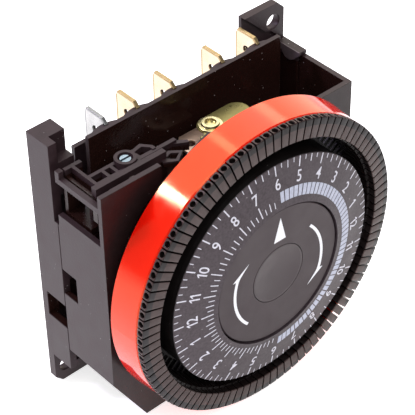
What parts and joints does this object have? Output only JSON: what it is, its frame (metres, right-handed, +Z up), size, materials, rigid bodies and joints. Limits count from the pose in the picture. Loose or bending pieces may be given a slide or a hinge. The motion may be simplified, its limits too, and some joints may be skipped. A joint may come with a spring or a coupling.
{
  "type": "programmable timer",
  "caption": "Panel-mounted mechanical day timer with a turning dial, push-in trippers round its rim, a snap switch and a row of quick-connect blades.",
  "frame": {"origin": "on the dial's axis, in the plane of the rear mounting face", "axes": "+Z up, +X to the right as the dial is read, +Y into the panel (the dial faces -Y)"},
  "size_m": [0.0676, 0.0353, 0.0676],
  "materials": {
    "case_black": "fine spark-eroded black moulding",
    "dial_black": "satin dark grey moulding with white printing",
    "tripper_black": "satin black acetal",
    "ring_red": "glossy red moulding",
    "brass": "bright stamped brass",
    "tinned": "tin-plated brass",
    "contact_silver": "silver alloy contact",
    "copper": "copper",
    "steel": "zinc-plated steel",
    "magnet": "ferrite",
    "gear_white": "natural acetal"
  },
  "bodies": {
    "case": {"rear_base": "case_black", "front_case": "case_black", "switch_carrier": "case_black", "carrier_screw": "steel", "terminal_1": "tinned", "terminal_2": "brass", "terminal_3": "brass", "terminal_4": "brass", "terminal_5": "brass", "fixed_strip": "copper", "fixed_button": "contact_silver", "leaf_clamp": "brass", "lever_pin": "steel", "motor_can": "steel", "motor_cover": "steel", "motor_bobbin": "case_black", "motor_coil": "copper", "gear_plate": "steel", "plate_pillars": "steel", "idler_pin": "steel", "pointer_disc": "dial_black", "centre_cap": "dial_black", "dial_spindle": "steel", "spindle_clip": "steel"},
    "dial": {"dial_drum": "dial_black", "dial_ring": "ring_red", "number_disc": "dial_black", "dial_gear": "gear_white", "clutch_spring": "brass", "tripper_group_1": "tripper_black", "tripper_group_2": "tripper_black", "tripper_group_3": "tripper_black", "tripper_group_4": "tripper_black", "tripper_group_5": "tripper_black", "tripper_group_6": "tripper_black", "tripper_group_7": "tripper_black", "tripper_group_8": "tripper_black"},
    "idler": {"idler_wheel": "brass"},
    "output": {"output_pinion": "brass", "output_arbor": "steel"},
    "rotor": {"motor_rotor": "magnet", "rotor_arbor": "steel"},
    "lever": {"switch_lever": "case_black"},
    "leaf": {"contact_leaf": "brass", "moving_contact": "brass", "contact_button": "contact_silver"},
    "tripper_body_1": {"tripper_1": "tripper_black"},
    "tripper_body_2": {"tripper_2": "tripper_black"},
    "tripper_body_3": {"tripper_3": "tripper_black"},
    "tripper_body_4": {"tripper_4": "tripper_black"},
    "tripper_body_5": {"tripper_5": "tripper_black"},
    "tripper_body_6": {"tripper_6": "tripper_black"},
    "tripper_body_7": {"tripper_7": "tripper_black"},
    "tripper_body_8": {"tripper_8": "tripper_black"}
  },
  "joints": [
    {"name": "dial_spin", "type": "hinge", "parent": "case", "child": "dial", "pos_m": [0, -0.024, 0], "axis": [0, 1, 0], "continuous": true},
    {"name": "idler_spin", "type": "hinge", "parent": "case", "child": "idler", "pos_m": [0.01486, -0.016, -0.01771], "axis": [0, 1, 0], "continuous": true},
    {"name": "output_spin", "type": "hinge", "parent": "case", "child": "output", "pos_m": [0.00385, -0.015, -0.0137], "axis": [0, 1, 0], "continuous": true},
    {"name": "rotor_spin", "type": "hinge", "parent": "case", "child": "rotor", "pos_m": [-0.004, -0.007, -0.0085], "axis": [0, 1, 0], "continuous": true},
    {"name": "lever_rock", "type": "hinge", "parent": "case", "child": "lever", "pos_m": [-0.016, -0.0197, 0.02], "axis": [0, 1, 0], "range_deg": [0, 8.5], "stiffness_Nm_per_rad": 0.02},
    {"name": "leaf_flex", "type": "hinge", "parent": "case", "child": "leaf", "pos_m": [0.009, -0.0146, 0.02475], "axis": [0, -1, 0], "range_deg": [0, 11]},
    {"name": "tripper_1_push", "type": "slide", "parent": "dial", "child": "tripper_body_1", "axis": [-0.0327, 0, -0.9995], "range_m": [0, 0.002]},
    {"name": "tripper_2_push", "type": "slide", "parent": "dial", "child": "tripper_body_2", "axis": [-0.7299, 0, -0.6836], "range_m": [0, 0.002]},
    {"name": "tripper_3_push", "type": "slide", "parent": "dial", "child": "tripper_body_3", "axis": [-0.9995, 0, 0.0327], "range_m": [0, 0.002]},
    {"name": "tripper_4_push", "type": "slide", "parent": "dial", "child": "tripper_body_4", "axis": [-0.6836, 0, 0.7299], "range_m": [0, 0.002]},
    {"name": "tripper_5_push", "type": "slide", "parent": "dial", "child": "tripper_body_5", "axis": [0.0327, 0, 0.9995], "range_m": [0, 0.002]},
    {"name": "tripper_6_push", "type": "slide", "parent": "dial", "child": "tripper_body_6", "axis": [0.7299, 0, 0.6836], "range_m": [0, 0.002]},
    {"name": "tripper_7_push", "type": "slide", "parent": "dial", "child": "tripper_body_7", "axis": [0.9995, 0, -0.0327], "range_m": [0, 0.002]},
    {"name": "tripper_8_push", "type": "slide", "parent": "dial", "child": "tripper_body_8", "axis": [0.6836, 0, -0.7299], "range_m": [0, 0.002]}
  ],
  "couplings": [
    {"joint": "idler_spin", "follows": "dial_spin", "ratio": -6.6667},
    {"joint": "output_spin", "follows": "dial_spin", "ratio": 32},
    {"joint": "leaf_flex", "follows": "lever_rock", "ratio": 1.28}
  ]
}
